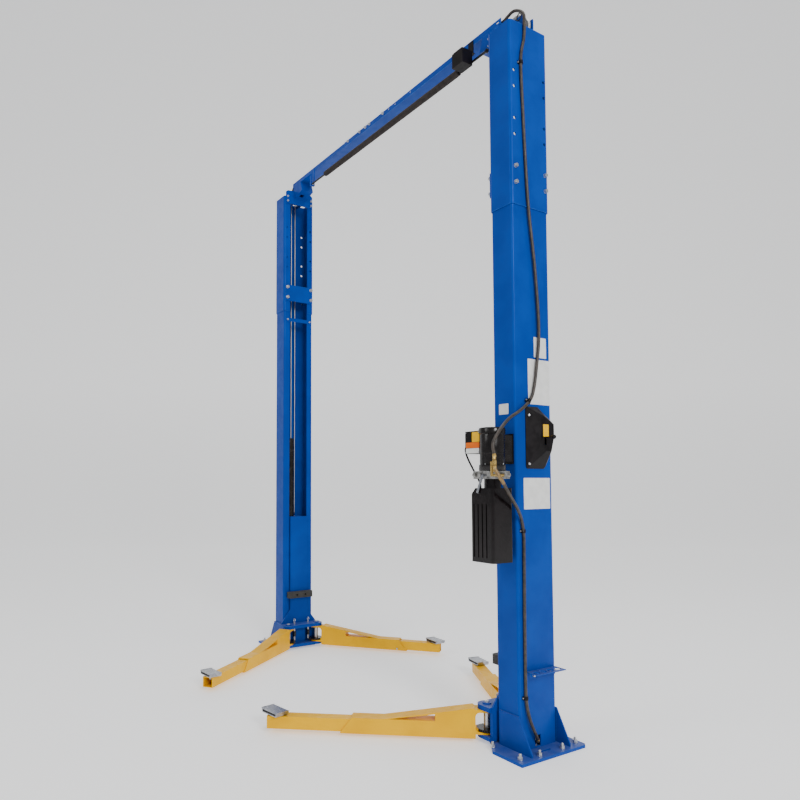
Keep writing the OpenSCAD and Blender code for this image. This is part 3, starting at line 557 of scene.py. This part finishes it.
# From the tee to the column's back, up the back, over the head, along the beam, down the far column.
supply = [(1.466, -0.352, 1.5041), (1.4652, -0.3521, 1.535), (1.459, -0.353, 1.588),
          (1.454, -0.312, 1.645), (1.435, -0.245, 1.696), (1.415, -0.180, 1.733), (SKIN + 0.002, -0.124, 1.767)]
supply += [(SKIN + 0.001, y, z) for y, z in ((-0.062, 1.811), (-0.018, 1.870), (0.012, 2.010), (0.035, 2.216),
           (0.012, 2.541), (-0.034, 2.918), (-0.062, 3.410), (-0.071, 3.686), (-0.045, 3.815), (-0.040, 3.900))]
supply += [(SKIN - 0.010, -0.038, 3.968), (1.340, -0.034, TRAY + 0.013), (1.262, -0.033, TRAY + 0.002)]
supply += [(x, -0.033, TRAY) for x in (1.190, 1.080, 0.800, 0.300, -0.300, -0.800, -1.080)]
supply += [(-1.190, -0.033, TRAY + 0.001), (-1.252, -0.034, TRAY + 0.005), (-1.292, -0.037, BEAM - 0.008),
           (-1.306, -0.042, 3.900), (-1.332, -0.063, 3.840), (-1.364, -0.092, 3.760)]
supply += [(-1.372, -0.098, z) for z in (3.670, 3.540, 3.250, 2.600, 1.500, 0.700, 0.300, 0.140, 0.072)]
FOOT = (1.325, -0.045, 0.0422)


def port(angle, out=0.0, side=1):
    """A point beside a rod's foot: the foot's centre plus its radius and out, turned by the angle."""
    a, r = math.radians(angle), FOOT[2] + out
    return side * (FOOT[0] + r * math.cos(a)), FOOT[1] + r * math.sin(a)


supply += [(*port(-48, 0.022, -1), 0.042), (*port(-48, 0.012, -1), 0.034), (*port(-48, 0, -1), 0.034)]
down = [(1.466, -0.352, 1.4799), (1.4679, -0.351, 1.462), (1.484, -0.342, 1.428), (1.491, -0.318, 1.392),
        (1.482, -0.276, 1.344), (1.464, -0.222, 1.298), (1.446, -0.172, 1.255), (SKIN + 0.002, -0.120, 1.200),
        (FACE + 0.001, -0.098, 1.120), (FACE, -0.097, 1.000), (FACE, -0.099, 0.750), (FACE, -0.100, 0.500),
        (FACE, -0.100, 0.360), (FACE + 0.003, -0.098, 0.260), (1.423, -0.082, 0.180), (1.429, -0.060, 0.120),
        (1.427, -0.034, 0.076), (1.411, -0.016, 0.050), (*port(22, 0.028), 0.037),
        (*port(22, 0.012), 0.034), (*port(22), 0.034)]
up_path, down_path = smooth_path(supply, 10), smooth_path(down, 10)
for name, path in (("hose_up", up_path), ("hose_down", down_path)):
    piece = skin(name + "_sheath", swept(path, HOSE, 16), sheath, "frame")
    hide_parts(name)


def ferrules(name, path, stations, length=0.030, r=0.0095):
    """Crimped ends: a short lathe turned along the hose at the given steps of its path."""
    way = np.gradient(path, axis=0)
    way /= np.linalg.norm(way, axis=1, keepdims=True)
    profile = [(HOSE, 0), (r, 0.001), (r, 0.010), (r * 0.9, 0.012), (r, 0.014), (r, length - 0.001),
               (HOSE, length)]
    rings = [turned(profile, path[i], way[i], 20)[0] for i in stations]
    return skin(name, rings, brass, "frame")


ferrules("ferrule_up", up_path, [1])
ferrules("ferrule_down", down_path, [1])
ferrules("ferrule_foot", down_path, [163], length=0.022)
tan = finish("tan_sleeve", (0.16, 0.095, 0.030), (0.26, 0.165, 0.060),
             rough=(0.3, 0.42), scale=80.0, peel=500.0, dusty=0.05)
skin("hose_tan_sleeve", swept(down_path[5:32], HOSE + 0.0008, 16), tan)
power_wire = [(1.240, -0.300, 1.592), (1.216, -0.300, 1.592), (1.200, -0.300, 1.566), (1.218, -0.300, 1.520),
              (1.258, -0.300, 1.462), (1.296, -0.301, 1.412), (1.312, -0.302, 1.385), (1.316, -0.303, 1.362)]
skin("motor_wire", swept(smooth_path(power_wire, 8), 0.005, 12), plastic)
loop = [(1.384, -0.062, 3.8965), (1.387, -0.063, 3.925), (1.398, -0.066, 3.949), (1.416, -0.069, 3.951),
        (1.429, -0.072, 3.932), (1.424, -0.075, 3.912), (1.407, -0.078, 3.908), (1.392, -0.080, 3.920),
        (1.380, -0.082, 3.8965)]
skin("switch_wire_loop", swept(smooth_path(loop, 8), 0.0028, 12), plastic)
print("hoses swept:", len(supply) + len(down), "points")

# %% [markdown]
# A saddle clip holds the hose to the column: a strap bent over the hose, with a foot on each side
# and a screw in one of them.

# %% Hose clips
def strap(name, at, along, out, material, width=0.018, r=HOSE + 0.0016, thick=0.0014):
    """A band round half the hose with a foot on each side: its section (a, b) runs foot, half
    circle, foot, and is carried width along the hose."""
    t = np.linspace(0, np.pi, 15)
    arc = np.column_stack([np.cos(t), np.sin(t)])

    def line(radius, foot):
        return np.vstack([[0.020, foot], [radius + 0.001, foot], arc * radius,
                          [-radius - 0.001, foot], [-0.020, foot]])

    section = np.vstack([line(r + thick, -HOSE + thick), line(r, -HOSE)[::-1]])
    along, out = (np.asarray(v, float) / np.linalg.norm(v) for v in (along, out))
    sideways = np.cross(out, along)
    ring = section[:, :1] * sideways + section[:, 1:] * out
    rings = [ring + np.asarray(at) + along * s for s in (-width / 2, width / 2)]
    return skin(name, rings, material, "frame")


SCREW_AT = 0.0158
clip_seats = [((SKIN + 0.001, -0.0706, 3.670), (0, 0.02, 1)), ((SKIN + 0.001, -0.050, 1.824), (0, 0.55, 1)),
              ((FACE, -0.0975, 1.140), (0, 0, 1)), ((FACE + 0.002, -0.0990, 0.285), (-0.03, -0.02, 1))]
for i, (at, along) in enumerate(clip_seats):
    strap(f"hose_clip_{i + 1}", at, along, OUT, plastic)
    side = np.cross(OUT, along) / np.linalg.norm(along)
    bolts(f"clip_screw_{i + 1}", [np.array(at) + SCREW_AT * side - [HOSE - 0.0012, 0, 0]], OUT, 0.007)
print("clips:", len(clip_seats))

# %% [markdown]
# The motor is a smooth rolled can between two heavier end bells. Its section is turned on a
# lathe: flange, groove, can, seam, can, groove, top bell, and a slightly domed lid. The tie rods
# that pull the bells together show as shallow ribs in the can.

# %% Motor
MOTOR = (1.360, -0.261, 1.452)


def tie_rods(t, m):
    """1 on the bells; on the can 0.975 plus a narrow bell of 0.022 at four angles, and the same
    0.022 over the whole saddle of the bracket."""
    off = np.angle(np.exp(1j * (4 * t - 0.8))) / 4
    scale = np.ones((m, len(t)))
    saddle = np.exp(-(np.angle(np.exp(1j * (t - np.pi))) / 0.6) ** 8)
    scale[5:-7] = 0.975 + 0.022 * np.maximum(np.exp(-(off / 0.07) ** 2), saddle)
    return scale


can = [(0.058, 0), (0.067, 0.001), (0.069, 0.004), (0.069, 0.032), (0.064, 0.035), (0.066, 0.042),
       (0.066, 0.088), (0.0668, 0.089), (0.0668, 0.093), (0.066, 0.094), (0.066, 0.184), (0.064, 0.190),
       (0.069, 0.194), (0.069, 0.219), (0.066, 0.224), (0.058, 0.226), (0.030, 0.2262)]
motor = skin("motor_can", turned(can, MOTOR, UP, 160, tie_rods), enamel, sharp=35)
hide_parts("motor")
BOLT_CIRCLE, BELL_TOP, BLOCK_Z = 0.0655, 0.0345, 1.432
seats = [(MOTOR[0] + BOLT_CIRCLE * math.cos(a), MOTOR[1] + BOLT_CIRCLE * math.sin(a), MOTOR[2] + BELL_TOP)
         for a in (0.2, 1.77, 3.34, 4.91)]
bolts("motor_bolts", seats, UP, 0.005, washer=1.0)
bead = [(0.0, 0.0), (0.0032, 0.0015), (0.0032, 0.1345), (0.0, 0.136)]
welds = turned(bead, [(x, -0.2020, 1.502) for x in (1.3305, 1.3888)], UP, 16)
skin("saddle_welds", welds, enamel)
plug = {"material": cast, "washer": 1.2, "head": 0.5}
bolts("block_plugs", [(x, -0.316, BLOCK_Z) for x in (1.292, 1.330)], FRONT, 0.022, **plug)
bolts("block_plugs_end", [(1.432, y, BLOCK_Z) for y in (-0.300, -0.225)], OUT, 0.020, **plug)
seats = [(x, BOX_FRONT, z) for x in (1.215, 1.313) for z in (1.553, 1.656)]
bolts("lid_screws", seats, FRONT, 0.006, washer=1.0)
print("motor turned:", len(can), "rings")

# %% [markdown]
# The lifting pads carry a block of hard rubber inside the pressed tray.

# %% Pad rubber
PAD_TURN = {"near_front": 9, "far_rear": -4, "far_front": 6, "near_rear": -14}
PAD_Z, PAD_LAYERS = 0.1110, [(0.001, -0.0055), (0, -0.0045), (0, 0.0045), (0.001, 0.0055)]


def middle(low, high):
    """The middle of a box on the floor plan."""
    return (low[0] + high[0]) / 2, (low[1] + high[1]) / 2


for key in SWING:
    low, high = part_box("pad_" + key)
    a = math.radians(PAD_TURN[key])
    block = pressed(0.078, 0.112, 0.004, PAD_LAYERS, (*middle(low, high), PAD_Z), UP,
                    up=(math.cos(a), math.sin(a), 0))
    skin("pad_rubber_" + key, block, rubber, "pad_" + key)
print("pads filled")

# %% [markdown]
# An arm's side walls end in a throat with rounded corners, cut out of the plate. Round each pivot
# a black toothed ring lies on the lower fork: the spring pin above it, in its black guide, drops
# between the teeth. A stop screw sits low in the wall near the arm's mouth.

# %% Arm roots
FORK, ROOT_X, WALL_Y, PIN_R = (0.055, 0.158), 0.064, (0.038, 0.044), 0.0195
GEAR_R, GEAR_LOW, GEAR_TOP, TEETH, TOOTH = 0.0588, 0.0004, 0.0156, 30, 0.006
GUIDE_Z, PIN_TOP = 0.096, 0.197


def in_arm(key, points):
    """Points given along, across and above an arm, turned to where that arm lies."""
    (cx, cy), a = arm_turn[key]
    p = np.asarray(points, float)
    return np.stack([cx + p[..., 0] * math.cos(a) - p[..., 1] * math.sin(a),
                     cy + p[..., 0] * math.sin(a) + p[..., 1] * math.cos(a), p[..., 2]], -1)


def throat(r=0.024):
    """Four corner webs per arm: a square's corner less the quarter circle r * (sin t - 1, 1 - cos t)."""
    t = np.linspace(0, np.pi / 2, 9)
    corner = np.vstack([[0.0006, -0.0006], np.column_stack([-r + r * np.sin(t), r - r * np.cos(t)])[::-1]])
    webs = []
    for foot, up in ((FORK[0], 1), (FORK[1], -1)):
        for side in (-1, 1):
            flat = np.column_stack([ROOT_X + corner[:, 0], foot + up * corner[:, 1]])
            ends = WALL_Y if up * side > 0 else WALL_Y[::-1]
            walls = [np.column_stack([flat[:, 0], np.full(len(flat), side * y), flat[:, 1]]) for y in ends]
            webs.append(np.stack(walls))
    return webs


def toothed(heading):
    """Rim radius of the teeth, counted from the arm's heading: high for a quarter of each pitch,
    down a straight flank, low for a quarter, and up again."""
    def shape(t, m):
        phase = (TEETH * (t - np.pi / 2 - heading) / (2 * np.pi)) % 1
        scale = np.ones((m, len(t)))
        scale[1:3] = 1 - (TOOTH / GEAR_R) * np.interp(phase, [0, 0.25, 0.5, 0.75, 1], [0, 0, 1, 1, 0])
        return scale
    return shape


for key in SWING:
    arm = "arm_" + key
    webs = [in_arm(key, web) for web in throat()]
    skin("arm_throat_" + key, webs, nodes[arm].active_material, arm)
    disc = [(PIN_R, GEAR_LOW), (GEAR_R, GEAR_LOW), (GEAR_R, GEAR_TOP), (PIN_R, GEAR_TOP), (PIN_R, GEAR_LOW)]
    ring = turned(disc, in_arm(key, [0, 0, FORK[0]]), UP, 360, toothed(arm_turn[key][1]))
    skin("arm_gear_" + key, ring, enamel, arm, sharp=30, closed=False)
    low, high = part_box("restraint_" + key)
    layers = [(0.001, -0.0006), (0, 0.0004), (0, 0.0416), (0.001, 0.0426)]
    guide = pressed(0.0252, 0.0192, 0.002, layers, (*middle(low, high), GUIDE_Z), UP, up=(0, 1, 0))
    skin("restraint_guide_" + key, guide, enamel, "restraint_" + key)
    seat = in_arm(key, [0.722, -0.044, 0.034])
    side = in_arm(key, [0, -1, 0]) - in_arm(key, [0, 0, 0])
    bolts("stop_screw_" + key, [seat], side, 0.013, arm)
for side, sign in SIDES:
    body = "carriage_" + side
    seats = [(sign * PIVOT[0], y, PIN_TOP) for y in (-PIVOT[1], PIVOT[1])]
    cap = [(0.0243, 0.0002), (0.0243, 0.0060), (0.0236, 0.0067), (0.010, 0.0067), (0.009, 0.0060)]
    skin("pin_caps_" + side, turned(cap, seats, UP, 48), nodes[body].active_material, body)
    bolts("pin_screws_" + side, [(x, y, z + 0.0062) for x, y, z in seats], UP, 0.021, body, head=0.3)
print("arm roots finished")

# %% [markdown]
# The sleeve on the overhead bar is closed-cell foam. It is soft, so it is never a true tube: its
# radius drifts a little along the bar and it shows the slit that it was pushed on through.

# %% Foam sleeve
low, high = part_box("shutoff_foam")
radius, length = (high[2] - low[2]) / 2, high[0] - low[0]
h = np.linspace(0, length, 90)
drift = 0.985 + 0.012 * np.sin(9 * h) * np.sin(23 * h + 1)
profile = np.column_stack([radius * drift, h])
profile = np.vstack([[radius * 0.42, 0.0005], [radius * 0.93, 0], profile[1:-1],
                     [radius * 0.93, length], [radius * 0.42, length - 0.0005]])


def slit(t, m):
    """A shallow groove along the tube: 1 minus a narrow bell round one angle."""
    off = np.angle(np.exp(1j * (t - 2.2)))
    return np.ones((m, 1)) * (1 - 0.07 * np.exp(-(off / 0.07) ** 2))


start = (low[0], (low[1] + high[1]) / 2, (low[2] + high[2]) / 2)
sleeve = skin("foam_sleeve", turned(profile, start, OUT, 64, slit), foam, "shutoff_bar")
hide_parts("shutoff_foam")
print("foam sleeve", round(length, 3), "m")

# %% [markdown]
# A plain pale floor that curves up behind the lift, and three soft lamps: a strong one from behind
# the camera's right, a broad one from above, and a weak one from the left that opens the shadows.

# %% Studio
def backdrop():
    """A sheet whose section is flat, then a quarter circle, then a wall: extruded sideways."""
    front, bend_at, bend, wall, half = -14.0, 9, 4, 26.0, 26.0
    t = np.linspace(0, np.pi / 2, 24)
    run = np.concatenate([[front], bend_at + bend * np.sin(t), [bend_at + bend]])
    rise = np.concatenate([[0.0], bend - bend * np.cos(t), [wall]])
    line = np.column_stack([run, rise])
    away, side = np.array([-0.845, 0.532]), np.array([0.532, 0.845])
    strips = [np.column_stack([line[:, :1] * away + s * side, line[:, 1:]]) for s in (-half, half)]
    verts = np.vstack(strips)
    n = len(line)
    i = np.arange(n - 1)
    faces = np.column_stack([i, i + 1, i + 1 + n, i + n])[:, ::-1].tolist()
    mesh = bpy.data.meshes.new("backdrop")
    mesh.from_pydata(verts, [], faces)
    mesh.shade_smooth()
    piece = bpy.data.objects.new("backdrop", mesh)
    scene.collection.objects.link(piece)
    return piece


paper = bpy.data.materials.new("backdrop_paper")
paper.use_nodes = True
for key, value in (("Base Color", (0.80, 0.80, 0.80, 1)), ("Roughness", 0.9),
                   ("Emission Color", (1, 1, 1, 1)), ("Emission Strength", 0.50)):
    paper.node_tree.nodes["Principled BSDF"].inputs[key].default_value = value
floor = backdrop()
floor.data.materials.append(paper)


def lamp(name, at, aim, size, watts):
    light = bpy.data.lights.new(name, "AREA")
    light.shape, light.size, light.energy = "DISK", size, watts
    thing = bpy.data.objects.new(name, light)
    thing.location = at
    thing.rotation_euler = (Vector(aim) - Vector(at)).to_track_quat("-Z", "Y").to_euler()
    scene.collection.objects.link(thing)


lamp("key", (9.5, -2.0, 5.5), (0.3, 0, 1.8), 3.0, 560)
lamp("top", (1.5, 0.0, 9.0), (0, 0, 1.0), 6.0, 220)
lamp("fill", (0.0, -9.0, 6.0), (0.0, 0, 2.4), 4.0, 170)
world = bpy.data.worlds.new("studio")
scene.world = world
world.use_nodes = True
world.node_tree.nodes["Background"].inputs["Color"].default_value = (0.95, 0.97, 1.0, 1)
world.node_tree.nodes["Background"].inputs["Strength"].default_value = 0.42
print("studio lit")
